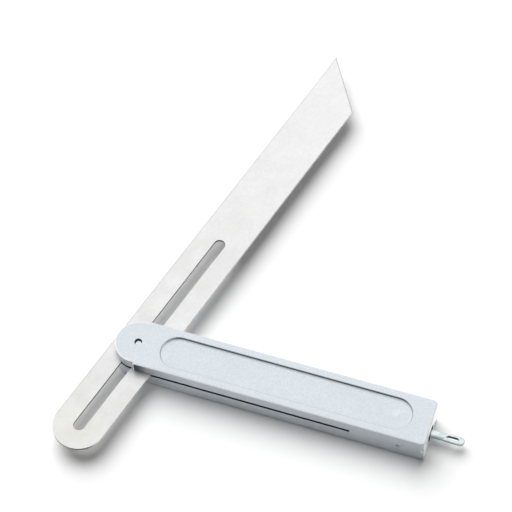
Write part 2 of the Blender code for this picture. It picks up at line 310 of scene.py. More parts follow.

# %% Shader group: edge wear and painted highlight
rim_highlight_and_wear_group, given, result = new_group(
    "edge_wear_and_highlight",
    [("Rim Width", "NodeSocketFloat", 0.0003), ("Sharpness", "NodeSocketFloat", 6.0)],
    ["Mask"],
)
rounded = add_node(rim_highlight_and_wear_group, "Bevel", {"samples": 4}, Radius=given["Rim Width"]).outputs["Normal"]
own = add_node(rim_highlight_and_wear_group, "NewGeometry").outputs["Normal"]
differ = maths(rim_highlight_and_wear_group, "SUBTRACT", 1.0, vector_maths(rim_highlight_and_wear_group, "DOT_PRODUCT", rounded, own))
limit = add_node(rim_highlight_and_wear_group, "Clamp", None, Value=product(rim_highlight_and_wear_group, differ, given["Sharpness"]))
feed(rim_highlight_and_wear_group, result["Mask"], limit.outputs["Result"])
print("group", rim_highlight_and_wear_group.name)

# %% [markdown]
# ## Painted shade in hollows
# Bores, slits and steep inner walls are painted dark, as painted shade. The ambient occlusion node
# measures how much of the sky a point sees past its own piece. One range of it marks what lies deep, and
# a second, wider one marks steep walls only, so that the foot of a recess stays unshaded on its flat floor.

# %% Shader group: painted shade in hollows
hollow_shade_group, given, result = new_group(
    "painted_hollow_shade", [("Reach", "NodeSocketFloat", 0.008)], ["Deep", "Wall"])
# Painted shade: these masks darken hollows by how little sky they see.
sky = add_node(hollow_shade_group, "AmbientOcclusion", {"samples": 16, "only_local": True},
               Distance=given["Reach"]).outputs["AO"]
facing = parts(hollow_shade_group, add_node(hollow_shade_group, "NewGeometry").outputs["True Normal"])
steep = ramp(hollow_shade_group, maths(hollow_shade_group, "ABSOLUTE", facing["Z"]), 0.6, 0.25)
feed(hollow_shade_group, result["Deep"], ramp(hollow_shade_group, sky, 0.45, 0.15))
feed(hollow_shade_group, result["Wall"], product(hollow_shade_group, steep, ramp(hollow_shade_group, sky, 0.93, 0.6)))
print("group", hollow_shade_group.name)


# %% Placing a group in a material
def place_group(tree, group, **inputs):
    return add_node(tree, "Group", {"node_tree": group}, **inputs).outputs


def object_place(tree, centre=(0, 0, 0), turn=(0, 0, 0)):
    shift = vector_maths(tree, "SUBTRACT", add_node(tree, "TexCoord").outputs["Object"], centre)
    mapping = add_node(tree, "Mapping", {"vector_type": "POINT"}, Vector=shift, Rotation=turn)
    return mapping.outputs["Vector"]


def add_bump(tree, shader, height, strength, distance):
    bump = add_node(tree, "Bump", None, Height=height, Strength=strength, Distance=distance)
    tree.links.new(bump.outputs["Normal"], shader.inputs["Normal"])


print("groups ready:", [group.name for group in bpy.data.node_groups])

# %% [markdown]
# ## Finish of the casting: metal from the mould
# The handle is a light die casting. The mould leaves it satin, cool in colour and finely speckled, with
# slow patches where the metal chilled sooner. The sides are painted greyer than the top, as painted shade,
# which grows towards the butt and towards the foot and fades higher up.

# %% Casting: satin metal and sides in painted shade
CAST_DARK, CAST_PALE = (0.655, 0.71, 0.755), (0.715, 0.765, 0.81)
CAST_SPECK = (0.56, 0.61, 0.655)
SIDE_SHADE = (0.46, 0.485, 0.51)
SIDE_SHADE_AT_PIVOT = 0.15
SIDE_SHADE_PER_METRE_ALONG = 4.2
SIDE_SHADE_PER_METRE_UP = -8.0
SIDE_SHADE_AT_FOOT = 0.5
casting, tree, shader = new_tree("casting")
grain = place_group(tree, grain_group, Vector=object_place(tree), Grain_Scale=4800.0, Patch_Scale=70.0)
facing = parts(tree, add_node(tree, "NewGeometry").outputs["True Normal"])
place = parts(tree, object_place(tree, centre=pivot))
colour = blend_colours(tree, grain["Patches"], CAST_DARK, CAST_PALE)
colour = coat(tree, colour, CAST_SPECK, grain["Speckle"], 0.55)

# The sides are painted darker, as painted shade: more towards the butt and the foot, less higher up.
side = ramp(tree, maths(tree, "ABSOLUTE", facing["Z"]), 0.6, 0.15)
side_shade_amount = maths(tree, "MULTIPLY_ADD", place["X"], SIDE_SHADE_PER_METRE_ALONG, SIDE_SHADE_AT_PIVOT)
side_shade_amount = maths(tree, "MULTIPLY_ADD", place["Z"], SIDE_SHADE_PER_METRE_UP, side_shade_amount)
foot = ramp(tree, place["Z"], 1.2 * MM, 0.1 * MM)
side_shade_amount = maths(tree, "MULTIPLY_ADD", foot, SIDE_SHADE_AT_FOOT, side_shade_amount)
colour = coat(tree, colour, SIDE_SHADE, side, side_shade_amount)
print("casting: grain and", len(tree.nodes), "nodes so far")


# %% [markdown]
# Two opposite marks are painted. A dark patch beside the shoulder on the upper cheek is painted shade,
# where the blade below lies in the handle's shadow. Painted highlights lie on the shoulder's step and on the
# slanting rim round the head, and the edges are brightened, partly as edge wear and partly as a painted
# highlight. The butt face is painted pale, as painted light.

# %% Casting: painted shade by the shoulder, painted highlights and pale butt
def beyond(tree, value, limit):
    return maths(tree, "GREATER_THAN", value, limit * MM)


SHOULDER_SHADE_TINT = grey(0.045)
SHOULDER_SHADE_START, SHOULDER_SHADE_FULL, SHOULDER_SHADE_END = 0.95, 1.5, 10.5
SHOULDER_SHADE_ABOVE = 7.4
HIGHLIGHT_AND_WEAR_TINT = (0.97, 0.975, 0.98)
BUTT_PAINTED_LIGHT = (0.95, 0.955, 0.96)
STEP_START, STEP_FULL, STEP_END = 0.80, 1.35, 1.55
HEAD_RIM_ABOVE = 11.4
HEAD_RIM_FULL, HEAD_RIM_END = -1.0, 4.0

# A dark patch of painted shade beside the shoulder on the upper cheek, over the shadowed blade.
shoulder_shade = product(tree, ramp(tree, place["X"], SHOULDER_SHADE_END * MM, SHOULDER_SHADE_FULL * MM),
                 beyond(tree, place["X"], SHOULDER_SHADE_START), beyond(tree, place["Z"], SHOULDER_SHADE_ABOVE))
colour = coat(tree, colour, SHOULDER_SHADE_TINT, shoulder_shade, side)

# Painted highlights on the shoulder's step and the head's slanting rim; the edges are brightened partly as
# wear, partly as a painted highlight.
rim_highlight_and_wear = place_group(tree, rim_highlight_and_wear_group, Rim_Width=0.0004, Sharpness=5.0)["Mask"]
shoulder_highlight = product(tree, side, ramp(tree, place["X"], STEP_END * MM, STEP_FULL * MM),
                   beyond(tree, place["X"], STEP_START))
head_rim_highlight = product(tree, ramp(tree, facing["Z"], 0.97, 0.85), ramp(tree, facing["Z"], 0.2, 0.45),
                  beyond(tree, place["Z"], HEAD_RIM_ABOVE),
                  ramp(tree, place["X"], HEAD_RIM_END * MM, HEAD_RIM_FULL * MM))
highlight_and_wear = maths(tree, "MAXIMUM", product(tree, rim_highlight_and_wear, 0.5), maths(tree, "MAXIMUM", shoulder_highlight, head_rim_highlight))
butt = ramp(tree, facing["X"], 0.75, 0.95)
colour = coat(tree, colour, HIGHLIGHT_AND_WEAR_TINT, highlight_and_wear)
# The butt face is painted pale, as painted light.
colour = coat(tree, colour, BUTT_PAINTED_LIGHT, butt)
print("casting:", len(tree.nodes), "nodes so far")

# %% [markdown]
# Painted shade goes where the handle hides the light: a grey line along the rounded lip of the panel, dark
# steep walls, and nearly black in the slit, the mouth at the butt and the hole above the stud. These places
# are known from the handle's own sizes, so the sizes come first: they were read through the camera, with
# the blade's width of 20 mm as the scale. Later the shapes are built from the same values.

# %% Sizes of the handle
HANDLE_WIDTH = 19.0
HANDLE_THICKNESS = 12.0
PIVOT_TO_BUTT = 112.8
LOWER_CHEEK = 6.2
SLIT_TOP = 7.5
SLIT_REACH = 84.7
PANEL_START = 9.05
PANEL_END = 105.4
PANEL_SIDE_RIM = 3.0
MOUTH_RADIUS = 3.25
STUD_HOLE_RADIUS = 1.35
half = HANDLE_WIDTH / 2
print("handle", PIVOT_TO_BUTT, "mm from pivot to butt,", HANDLE_WIDTH, "x", HANDLE_THICKNESS, "mm")

# %% Casting: painted shade along the panel's lip and walls
LIP_SHADE_TINT = (0.28, 0.30, 0.33)
panel_radius = half - PANEL_SIDE_RIM
panel_middle = (PANEL_START + PANEL_END) / 2
panel_straight = (PANEL_END - PANEL_START) / 2 - panel_radius
past_end = maths(tree, "ABSOLUTE", maths(tree, "SUBTRACT", place["X"], panel_middle * MM))
past_end = maths(tree, "MAXIMUM", maths(tree, "SUBTRACT", past_end, panel_straight * MM), 0.0)
from_lip = maths(tree, "SUBTRACT", length(tree, past_end, place["Y"], 0.0), (panel_radius + 0.02) * MM)
lip_shade_line = product(tree, ramp(tree, maths(tree, "ABSOLUTE", from_lip), 0.28 * MM, 0.08 * MM),
                   maths(tree, "GREATER_THAN", facing["Z"], 0.4))
# Steep walls across the handle's width are painted dark, and a grey line runs along the panel's lip, both as
# painted shade.
across = ramp(tree, maths(tree, "ABSOLUTE", facing["X"]), 0.7, 0.3)
hollow_shade = place_group(tree, hollow_shade_group, Reach=0.008)
colour = coat(tree, colour, (0.10, 0.105, 0.115), hollow_shade["Wall"], across)
colour = coat(tree, colour, LIP_SHADE_TINT, lip_shade_line, 0.75)
print("panel's half circles:", panel_radius, "mm, straight part", round(2 * panel_straight, 2), "mm")

# %% Casting: painted shade in slit, mouth and stud hole
BORE_SHADE_TINT = (0.018, 0.019, 0.021)
DEEP_SHADE_TINT = (0.03, 0.032, 0.036)
MOUTH_SHADE_START = 104.0
slit = product(tree, beyond(tree, place["Z"], LOWER_CHEEK - 0.01),
               maths(tree, "LESS_THAN", place["Z"], (SLIT_TOP + 0.01) * MM),
               maths(tree, "LESS_THAN", place["X"], (SLIT_REACH + 0.05) * MM))
from_axis = length(tree, 0.0, place["Y"], maths(tree, "SUBTRACT", place["Z"], LOCK_HEIGHT * MM))
mouth = product(tree, maths(tree, "LESS_THAN", from_axis, (MOUTH_RADIUS + 0.02) * MM),
                beyond(tree, place["X"], MOUTH_SHADE_START))
from_pivot = length(tree, place["X"], place["Y"], 0.0)
stud_hole = maths(tree, "LESS_THAN", from_pivot, (STUD_HOLE_RADIUS + 0.08) * MM)
bore_shade_mask = maths(tree, "MAXIMUM", maths(tree, "MAXIMUM", slit, mouth), stud_hole)
# Slit, mouth and stud hole are painted nearly black, and deep places dark, as painted shade.
colour = coat(tree, colour, BORE_SHADE_TINT, bore_shade_mask, 0.94)
colour = coat(tree, colour, DEEP_SHADE_TINT, hollow_shade["Deep"])
print("casting:", len(tree.nodes), "nodes so far")

# %% [markdown]
# The satin skin of the casting is only half metallic, since oxide dulls it. Under the painted highlights,
# the worn edges and the pale butt, it is nearly a full metal and mirrors the white room.

# %% Casting: gloss and grain
SATIN_ROUGHNESS, PATCH_ROUGHNESS, WEAR_GLOSS = 0.42, 0.08, 0.12
SATIN_METAL, FULL_METAL = 0.5, 0.95
rough = maths(tree, "MULTIPLY_ADD", grain["Patches"], PATCH_ROUGHNESS, SATIN_ROUGHNESS)
rough = maths(tree, "SUBTRACT", rough, product(tree, rim_highlight_and_wear, WEAR_GLOSS))
full_metal_mask = maths(tree, "MAXIMUM", butt, highlight_and_wear)
metallic = maths(tree, "MULTIPLY_ADD", full_metal_mask, FULL_METAL - SATIN_METAL, SATIN_METAL)
surface(tree, shader, colour, rough, metallic)
add_bump(tree, shader, grain["Height"], 0.6, 0.00005)
print("material", casting.name, "with", len(tree.nodes), "nodes")

# %% [markdown]
# ## Finish of the blade
# The blade is cold-rolled stainless strip. Rolling leaves a satin surface with faint clouds and very fine
# lines along the strip, so one noise is stretched along the blade. It is paler towards the tip, and near
# the round end the steel is a little warmer in colour.

# %% Sizes of the blade
BLADE_ANGLE = math.radians(75.43)
BLADE_WIDTH = 20.0
PIVOT_TO_TIP = 155.56
PIVOT_TO_ROUND_END = 48.05
blade_half = BLADE_WIDTH / 2
round_centre = PIVOT_TO_ROUND_END - blade_half
print("blade", round(PIVOT_TO_TIP + PIVOT_TO_ROUND_END, 2), "mm long,", BLADE_WIDTH, "mm wide")

# %% Stainless strip: rolled surface
STEEL_AT_PIVOT, STEEL_AT_TIP = (0.66, 0.66, 0.655), grey(0.80)
WARM_STEEL = (0.78, 0.77, 0.68)
WARM_HEIGHT = 7.0
LINE_STRETCH = (120.0, 5000.0, 5000.0)
stainless, tree, shader = new_tree("stainless")
along = object_place(tree, centre=pivot, turn=(0, 0, -BLADE_ANGLE))
reach = parts(tree, along)
grain = place_group(tree, grain_group, Vector=along, Grain_Scale=2200.0, Patch_Scale=110.0)
lines = noise(tree, vector_maths(tree, "MULTIPLY", along, LINE_STRETCH), 1.0, 3.0)
colour = blend_colours(tree, ramp(tree, reach["X"], -0.03, 0.15, "LINEAR"), STEEL_AT_PIVOT, STEEL_AT_TIP)
colour = coat(tree, colour, grey(0.85), grain["Patches"], 0.5)
from_round_end = vector_maths(tree, "DISTANCE", along, (-round_centre * MM, 0, WARM_HEIGHT * MM))
colour = coat(tree, colour, WARM_STEEL, ramp(tree, from_round_end, 0.014, 0.0, "LINEAR"), 0.45)
colour = coat(tree, colour, (0.50, 0.50, 0.49), grain["Speckle"], 0.12)
print("stainless:", len(tree.nodes), "nodes so far")

# %% [markdown]
# The narrow edges are painted dark, as painted shade, apart from the outer ones that face the butt's side,
# which are painted bright, as a painted reflection of the white room. A grey line is drawn along the left
# edge and along the slanting cut. The blade is held at half metallic: a full mirror would show only the white
# room and would lose the shadow that the handle throws on it.

# %% Stainless strip: painted edge shade and reflection, and edge lines
EDGE_SHADE_TINT, EDGE_REFLECTION_TINT = (0.12, 0.12, 0.125), grey(0.92)
STRIP_METAL = 0.45
STRIP_ROUGHNESS, LINE_ROUGHNESS, CLOUD_ROUGHNESS = 0.24, 0.10, 0.06
# The narrow edges are painted dark as painted shade, and outer edges facing the butt's side bright as a
# painted reflection.
facing = parts(tree, add_node(tree, "TexCoord").outputs["Normal"])
outer_edge = maths(tree, "GREATER_THAN", maths(tree, "ABSOLUTE", reach["Y"]), blade_half / 2 * MM)
edge_reflection_mask = product(tree, outer_edge, ramp(tree, facing["X"], 0.6, 0.9))
edge_shade_and_reflection = blend_colours(tree, edge_reflection_mask, EDGE_SHADE_TINT, EDGE_REFLECTION_TINT)
colour = blend_colours(tree, ramp(tree, maths(tree, "ABSOLUTE", facing["Z"]), 0.5, 0.2), colour, edge_shade_and_reflection)

# Grey lines are drawn along the left edge and along the slanting cut.
left_edge_line = ramp(tree, reach["Y"], (blade_half - 0.45) * MM, (blade_half - 0.1) * MM)
from_cut = maths(tree, "SUBTRACT", maths(tree, "SUBTRACT", reach["X"], reach["Y"]),
                 (PIVOT_TO_TIP - blade_half) * MM)
cut_edge_line = ramp(tree, from_cut, -0.6 * MM, -0.15 * MM)
colour = coat(tree, colour, grey(0.30), left_edge_line, 0.6)
colour = coat(tree, colour, grey(0.22), cut_edge_line, 0.75)
# The steep walls of the slot are painted dark, as painted shade.
hollow_shade = place_group(tree, hollow_shade_group, Reach=0.004)
colour = coat(tree, colour, grey(0.12), hollow_shade["Wall"], 0.8)

rough = maths(tree, "MULTIPLY_ADD", lines, LINE_ROUGHNESS, STRIP_ROUGHNESS)
rough = maths(tree, "MULTIPLY_ADD", grain["Patches"], CLOUD_ROUGHNESS, rough)
surface(tree, shader, colour, rough, STRIP_METAL)
add_bump(tree, shader, lines, 0.25, 0.00001)
print("material", stainless.name, "with", len(tree.nodes), "nodes")

# %% [markdown]
# ## Finish of the plated screw
# The lock is zinc plated: bright, with a faint blue-green cast, and never quite even, because the plating
# follows the marks of forging. Its flanks are painted darker and its hollows dark, as painted shade.

# %% Zinc plating
ZINC_DARK, ZINC_PALE = (0.66, 0.76, 0.76), (0.86, 0.90, 0.89)
ZINC_FLANK_SHADE = (0.20, 0.28, 0.29)
plating, tree, shader = new_tree("zinc_plating")
grain = place_group(tree, grain_group, Vector=object_place(tree), Grain_Scale=1400.0, Patch_Scale=500.0)
facing = parts(tree, add_node(tree, "TexCoord").outputs["Normal"])
hollow_shade = place_group(tree, hollow_shade_group, Reach=0.003)
colour = blend_colours(tree, grain["Patches"], ZINC_DARK, ZINC_PALE)
# The flanks are painted darker, as painted shade.
colour = coat(tree, colour, ZINC_FLANK_SHADE, ramp(tree, maths(tree, "ABSOLUTE", facing["Z"]), 0.95, 0.55), 0.8)
# The steep walls of the eye's slot are painted nearly black, as painted shade.
colour = coat(tree, colour, (0.03, 0.035, 0.04), hollow_shade["Wall"])
surface(tree, shader, colour, maths(tree, "MULTIPLY_ADD", grain["Speckle"], 0.10, 0.14), 1.0)
add_bump(tree, shader, grain["Height"], 0.2, 0.00004)
print("material", plating.name, "with", len(tree.nodes), "nodes")

# %% [markdown]
# ## Finishes of the small turned pieces
# The stud, the rod and the bush are turned on a lathe, which leaves fine rings round their axis. A wave
# texture in rings, centred on that axis, draws them. The guide and the pin are ground, which leaves
# straight lines. One function makes all five, each with its own metal.

# %% Turned and ground metal
QUARTER = math.radians(90)
GROUND_STRETCH = (200.0, 4000.0, 4000.0)


def turned_metal(name, pale, dark, centre, turn, rings=True):
    material, tree, shader = new_tree(name)
    place = object_place(tree, centre=centre, turn=turn)
    if rings:
        marks = add_node(tree, "TexWave", {"wave_type": "RINGS", "rings_direction": "Z"},
                         Vector=place, Scale=900.0, Distortion=1.5, Detail=2.0).outputs["Fac"]
    else:
        marks = noise(tree, vector_maths(tree, "MULTIPLY", place, GROUND_STRETCH), 1.0, 2.0)
    grain = place_group(tree, grain_group, Vector=place, Grain_Scale=2500.0, Patch_Scale=400.0)
    hollow_shade = place_group(tree, hollow_shade_group, Reach=0.0025)
    colour = blend_colours(tree, grain["Patches"], dark, pale)
    # The steep walls of hollows are painted nearly black, as painted shade.
    colour = coat(tree, colour, grey(0.02), hollow_shade["Wall"])
    surface(tree, shader, colour, maths(tree, "MULTIPLY_ADD", marks, 0.12, 0.24), 1.0)
    add_bump(tree, shader, marks, 0.3, 0.00002)
    print("material", name)
    return material


BRASS = (0.80, 0.66, 0.38)
lock_axis = (pivot.x, pivot.y, LOCK_HEIGHT * MM)
along_lock = (0, QUARTER, 0)
stud_steel = turned_metal("stud_steel", grey(0.94), (0.80, 0.81, 0.82), pivot, (0, 0, 0))
rod_steel = turned_metal("rod_steel", (0.62, 0.63, 0.64), (0.44, 0.45, 0.46), lock_axis, along_lock)
pin_steel = turned_metal(
    "pin_steel", (0.56, 0.57, 0.58), (0.40, 0.41, 0.42), lock_axis, (0, 0, QUARTER), rings=False)
bush_brass = turned_metal("bush_brass", BRASS, (0.62, 0.49, 0.26), lock_axis, along_lock)
guide_brass = turned_metal(
    "guide_brass", BRASS, (0.64, 0.52, 0.30), pivot, (0, 0, -BLADE_ANGLE), rings=False)

for node, material in (
    ("wedge_rod", rod_steel), ("rod_pin", pin_steel),
    ("thread_bush", bush_brass), ("guide_block", guide_brass),
):
    frame["nodes"][node].data.materials.clear()
    frame["nodes"][node].data.materials.append(material)

# %% [markdown]
# ## Helpers for shapes
# The handle and the blade are plates with rounded corners and rims. A plate starts as one face through a
# few corner points, and a vertex bevel rounds the corners. Its rim is rounded by insets: each step makes
# the face a little smaller and lifts it, so the rim climbs a quarter circle. This gives even strips of
# faces, which shade well, where an edge bevel would catch on a plate's long inner edges.

# %% Plates and rims
SHY = 0.0005        # a half circle of two corners stops this short of its point, so that both keep an edge
PLATE_MERGE = 0.002
SHAPE_MERGE = 0.0005


def round_corner(work, vert, radius, steps):
    bmesh.ops.bevel(work, geom=[vert], offset=radius, offset_type="OFFSET", segments=steps,
                    profile=0.5, affect="VERTICES", material=-1)


def flat_plate(corners, height):
    work = bmesh.new()
    verts = [work.verts.new((x, y, height)) for x, y, _, _ in corners]
    work.faces.new(verts)
    for vert, (_, _, radius, steps) in zip(verts, corners):
        if radius:
            round_corner(work, vert, radius, steps)
    bmesh.ops.remove_doubles(work, verts=work.verts, dist=PLATE_MERGE)
    return work


def lift(work, faces, height):
    made = bmesh.ops.extrude_face_region(work, geom=faces)
    verts = [g for g in made["geom"] if isinstance(g, bmesh.types.BMVert)]
    bmesh.ops.translate(work, verts=verts, vec=(0, 0, height))
    return [g for g in made["geom"] if isinstance(g, bmesh.types.BMFace)]


def climb(work, faces, steps):
    for inward, upward in steps:
        bmesh.ops.inset_region(work, faces=faces, thickness=inward, use_even_offset=True, use_boundary=True)
        verts = {v for f in faces for v in f.verts}
        bmesh.ops.translate(work, verts=list(verts), vec=(0, 0, upward))


def rim(radius, steps, up=1, flare=False):
    turns = [QUARTER * i / steps for i in range(steps + 1)]
    out = []
    for a, b in zip(turns, turns[1:]):
        flat_part = radius * (math.cos(a) - math.cos(b))
        steep_part = radius * (math.sin(b) - math.sin(a))
        out.append((steep_part, up * flat_part) if flare else (flat_part, up * steep_part))
    return out


def slab(corners, low, high, radius, steps):
    work = flat_plate(corners, low + radius)
    bottom = list(work.faces)
    top = lift(work, bottom, high - low - 2 * radius)
    climb(work, top, rim(radius, steps))
    climb(work, bottom, rim(radius, steps, up=-1))
    bmesh.ops.recalc_face_normals(work, faces=work.faces)
    return work


print("a rim in two steps:", [tuple(round(c, 3) for c in step) for step in rim(1.0, 2)])


# %% [markdown]
# Holes and slits are cut with a Boolean, as a drill or a saw would. It runs on two helper objects, and
# only the cut mesh is kept. A lathe shape is a short profile spun round the X axis, merged at the seam
# and at the poles, and may then be turned upright. A slot cutter is a plate with two round ends.

# %% Booleans, lathe shapes and cutters
def as_object(work, name):
    mesh = bpy.data.meshes.new(name)
    work.to_mesh(mesh)
    work.free()
    obj = bpy.data.objects.new(name, mesh)
    bpy.context.scene.collection.objects.link(obj)
    return obj


def evaluated(obj):
    graph = bpy.context.evaluated_depsgraph_get()
    work = bmesh.new()
    mesh = bpy.data.meshes.new_from_object(obj.evaluated_get(graph))
    work.from_mesh(mesh)
    bpy.data.meshes.remove(mesh)
    return work


def combine(work, other, operation="DIFFERENCE"):
    body, tool = as_object(work, "body"), as_object(other, "tool")
    cut = body.modifiers.new("cut", "BOOLEAN")
    cut.operation = operation
    cut.solver = "EXACT"
    cut.object = tool
    made = evaluated(body)
    for obj in (body, tool):
        mesh = obj.data
        bpy.data.objects.remove(obj)
        bpy.data.meshes.remove(mesh)
    return made


def turned(work, angle, axis):
    bmesh.ops.rotate(work, verts=work.verts, cent=(0, 0, 0), matrix=Matrix.Rotation(angle, 3, axis))
    return work


def moved(work, place):
    bmesh.ops.translate(work, verts=work.verts, vec=place)
    return work


def lathe(profile, steps=64, height=0.0):
    work = bmesh.new()
    verts = [work.verts.new((x, 0, r)) for x, r in profile]
    edges = [work.edges.new(pair) for pair in zip(verts, verts[1:])]
    bmesh.ops.spin(work, geom=verts + edges, cent=(0, 0, 0), axis=(1, 0, 0), angle=math.radians(360),
                   steps=steps, use_merge=True)
    bmesh.ops.remove_doubles(work, verts=work.verts, dist=SHAPE_MERGE)
    bmesh.ops.recalc_face_normals(work, faces=work.faces)
    return moved(work, (0, 0, height))


def block(low, high):
    work = bmesh.new()
    bmesh.ops.create_cube(work, size=1.0)
    bmesh.ops.scale(work, verts=work.verts, vec=[b - a for a, b in zip(low, high)])
    return moved(work, [(a + b) / 2 for a, b in zip(low, high)])


def slot_cutter(start, end, half_width, steps, low, high):
    work = flat_plate([(x, y, half_width - SHY, steps) for x, y in (
        (start, -half_width), (end, -half_width), (end, half_width), (start, half_width))], low)
    lift(work, list(work.faces), high - low)
    bmesh.ops.recalc_face_normals(work, faces=work.faces)
    return work


print("cutters ready")

# %% [markdown]
# Every finished piece goes through the same last steps. It is carried from millimetres at the pivot into
# the frame, its sharp rims are softened by a hair where it needs that, and weighted normals keep its flat
# faces flat. Then it joins its moving body and takes the place of its CAD node.

# %% Finishing a piece
SOFTENED_ANGLE = 40
SHARP_ANGLE = 50


def finish_piece(work, name, body, material, replaced, turn=0.0, soften=0.0):
    turned(work, turn, "Z")
    bmesh.ops.transform(work, matrix=to_frame, verts=work.verts)
    bmesh.ops.recalc_face_normals(work, faces=work.faces)
    obj = as_object(work, name)
    obj.data.materials.append(material)
    obj.data.shade_smooth()
    if soften:
        bevel = obj.modifiers.new("soften", "BEVEL")
        bevel.width = soften * MM
        bevel.segments = 2
        bevel.limit_method = "ANGLE"
        bevel.angle_limit = math.radians(SOFTENED_ANGLE)
        bevel.harden_normals = False
    obj.data.set_sharp_from_angle(angle=math.radians(SHARP_ANGLE))
    even = obj.modifiers.new("even_shading", "WEIGHTED_NORMAL")
    even.keep_sharp = True
    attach(obj, body)
    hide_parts(*replaced)
    print(name, len(obj.data.vertices), "points")


# %% [markdown]
# ## The handle
# The handle is one casting: a straight body 19 mm wide with a round, slightly narrower head. A spin draws
# the head's arc from one vertex, four corner points add the body, and an edge loop fill closes the
# outline. It is lifted to 12 mm and both rims are rounded, because a casting has no sharp edge.

# %% Handle: outline
HEAD_RADIUS = 8.7
HEAD_STEPS = 88
SHOULDER_REACH = 0.9
SHOULDER_ROUND = 0.6
BUTT_CORNER = 1.8
EDGE_ROUND = 0.5
opening = math.acos(SHOULDER_REACH / HEAD_RADIUS)

handle = bmesh.new()
start = handle.verts.new((SHOULDER_REACH, HEAD_RADIUS * math.sin(opening), EDGE_ROUND))
swept = bmesh.ops.spin(handle, geom=[start], cent=(0, 0, EDGE_ROUND), axis=(0, 0, 1),
                       angle=math.radians(360) - 2 * opening, steps=HEAD_STEPS)
end = next(g for g in swept["geom_last"] if isinstance(g, bmesh.types.BMVert))
corners = [handle.verts.new((x, y, EDGE_ROUND)) for x, y in (
    (SHOULDER_REACH, -half), (PIVOT_TO_BUTT, -half), (PIVOT_TO_BUTT, half), (SHOULDER_REACH, half))]
chain = [end, *corners, start]
for pair in zip(chain, chain[1:]):
    handle.edges.new(pair)
bmesh.ops.edgeloop_fill(handle, edges=handle.edges)
for vert, radius in zip(corners, (SHOULDER_ROUND, BUTT_CORNER, BUTT_CORNER, SHOULDER_ROUND)):
    round_corner(handle, vert, radius, 10)
print("outline corners:", len(handle.verts))

# %% Handle: body with rounded rims
bottom = list(handle.faces)
top = lift(handle, bottom, HANDLE_THICKNESS - 2 * EDGE_ROUND)
climb(handle, top, rim(EDGE_ROUND, 5))
climb(handle, bottom, rim(EDGE_ROUND, 5, up=-1))
bmesh.ops.recalc_face_normals(handle, faces=handle.faces)
print("handle body:", len(handle.faces), "faces")

# %% [markdown]
# The slit is sawn or cast from the head towards the butt, 1.3 mm high for a 1 mm blade. The panels are
# shallow recesses with round ends: their cutters widen towards the surface and have a rounded floor edge,
# as a mould needs so that the casting lets go. Near the butt, the pin that pushed the casting out of its
# mould left a round print on the panel's floor.

# %% Handle: slit and panels
CLEAR = 20
TOP_PANEL_DEPTH = 0.9
UNDER_PANEL_DEPTH = 0.6
PANEL_LIP, PANEL_FILLET, PANEL_SLOPE = 0.26, 0.16, 0.05
PRINT_RADIUS, PRINT_DEPTH = 2.3, 0.03
PRINT_PLACE = (98.3, 1.1, HANDLE_THICKNESS - TOP_PANEL_DEPTH + 0.001)
handle = combine(handle, block((-CLEAR, -CLEAR, LOWER_CHEEK), (SLIT_REACH, CLEAR, SLIT_TOP)))


def panel_cutter(face_height, depth, down):
    outer = panel_radius + PANEL_LIP
    start, end = PANEL_START - PANEL_LIP, PANEL_END + PANEL_LIP
    corners = [(start, -outer), (end, -outer), (end, outer), (start, outer)]
    work = flat_plate([(x, y, outer - SHY, 24) for x, y in corners], face_height - down)
    outside = list(work.faces)
    inside = lift(work, outside, down)
    climb(work, inside, rim(PANEL_LIP, 4, up=down, flare=True))
    climb(work, inside, [(PANEL_SLOPE, down * (depth - PANEL_LIP - PANEL_FILLET))])
    climb(work, inside, rim(PANEL_FILLET, 4, up=down))
    bmesh.ops.recalc_face_normals(work, faces=work.faces)
    return work


handle = combine(handle, panel_cutter(HANDLE_THICKNESS, TOP_PANEL_DEPTH, -1))
handle = combine(handle, panel_cutter(0.0, UNDER_PANEL_DEPTH, 1))
mark = lathe([(0, 0), (0, PRINT_RADIUS), (-PRINT_DEPTH, PRINT_RADIUS - 0.1), (-PRINT_DEPTH, 0)], steps=48)
handle = combine(handle, moved(turned(mark, -QUARTER, "Y"), PRINT_PLACE))
print("slit and panels cut:", len(handle.faces), "faces")

# %% [markdown]
# Bores follow. The stud's hole is small in the upper cheek and larger in the lower one. The long bore on
# the lock's axis takes the wedge rod, the bush and the screw, and opens in a wide mouth at the butt. The
# pin crosses it. Last comes the small nick that the picture shows at the butt's near corner.

# %% Handle: bores and nick
STUD_SHANK_BORE = 2.2
STUD_HOLE_SINK = 11.85
ROD_BORE, BUSH_BORE = 1.55, 2.5
BUSH_START, MOUTH_START = 105.1, 110.0
PIN_RADIUS = 0.9
PIN_PLACE = (102.85, 0, LOCK_HEIGHT + 2.05)
NICK_RADIUS, NICK_PLACE = 1.1, (112.75, -9.45, 5.9)
sink = HANDLE_THICKNESS + 2
slit_middle = (LOWER_CHEEK + SLIT_TOP) / 2
past_butt = PIVOT_TO_BUTT + 1

stud_bore = lathe([
    (-sink, 0), (-sink, STUD_HOLE_RADIUS + sink - STUD_HOLE_SINK), (-STUD_HOLE_SINK, STUD_HOLE_RADIUS),
    (-slit_middle, STUD_HOLE_RADIUS), (-slit_middle, STUD_SHANK_BORE), (1, STUD_SHANK_BORE), (1, 0),
])
handle = combine(handle, turned(stud_bore, QUARTER, "Y"))
handle = combine(handle, lathe([
    (0, 0), (0, ROD_BORE), (BUSH_START, ROD_BORE), (BUSH_START, BUSH_BORE), (MOUTH_START, BUSH_BORE),
    (MOUTH_START, MOUTH_RADIUS), (past_butt, MOUTH_RADIUS), (past_butt, 0),
], height=LOCK_HEIGHT))
pin_bore = lathe([(-10, 0), (-10, PIN_RADIUS), (10, PIN_RADIUS), (10, 0)], steps=32)
handle = combine(handle, moved(turned(pin_bore, QUARTER, "Z"), PIN_PLACE))
nick = bmesh.new()
bmesh.ops.create_icosphere(nick, subdivisions=3, radius=NICK_RADIUS)
handle = combine(handle, moved(nick, NICK_PLACE))
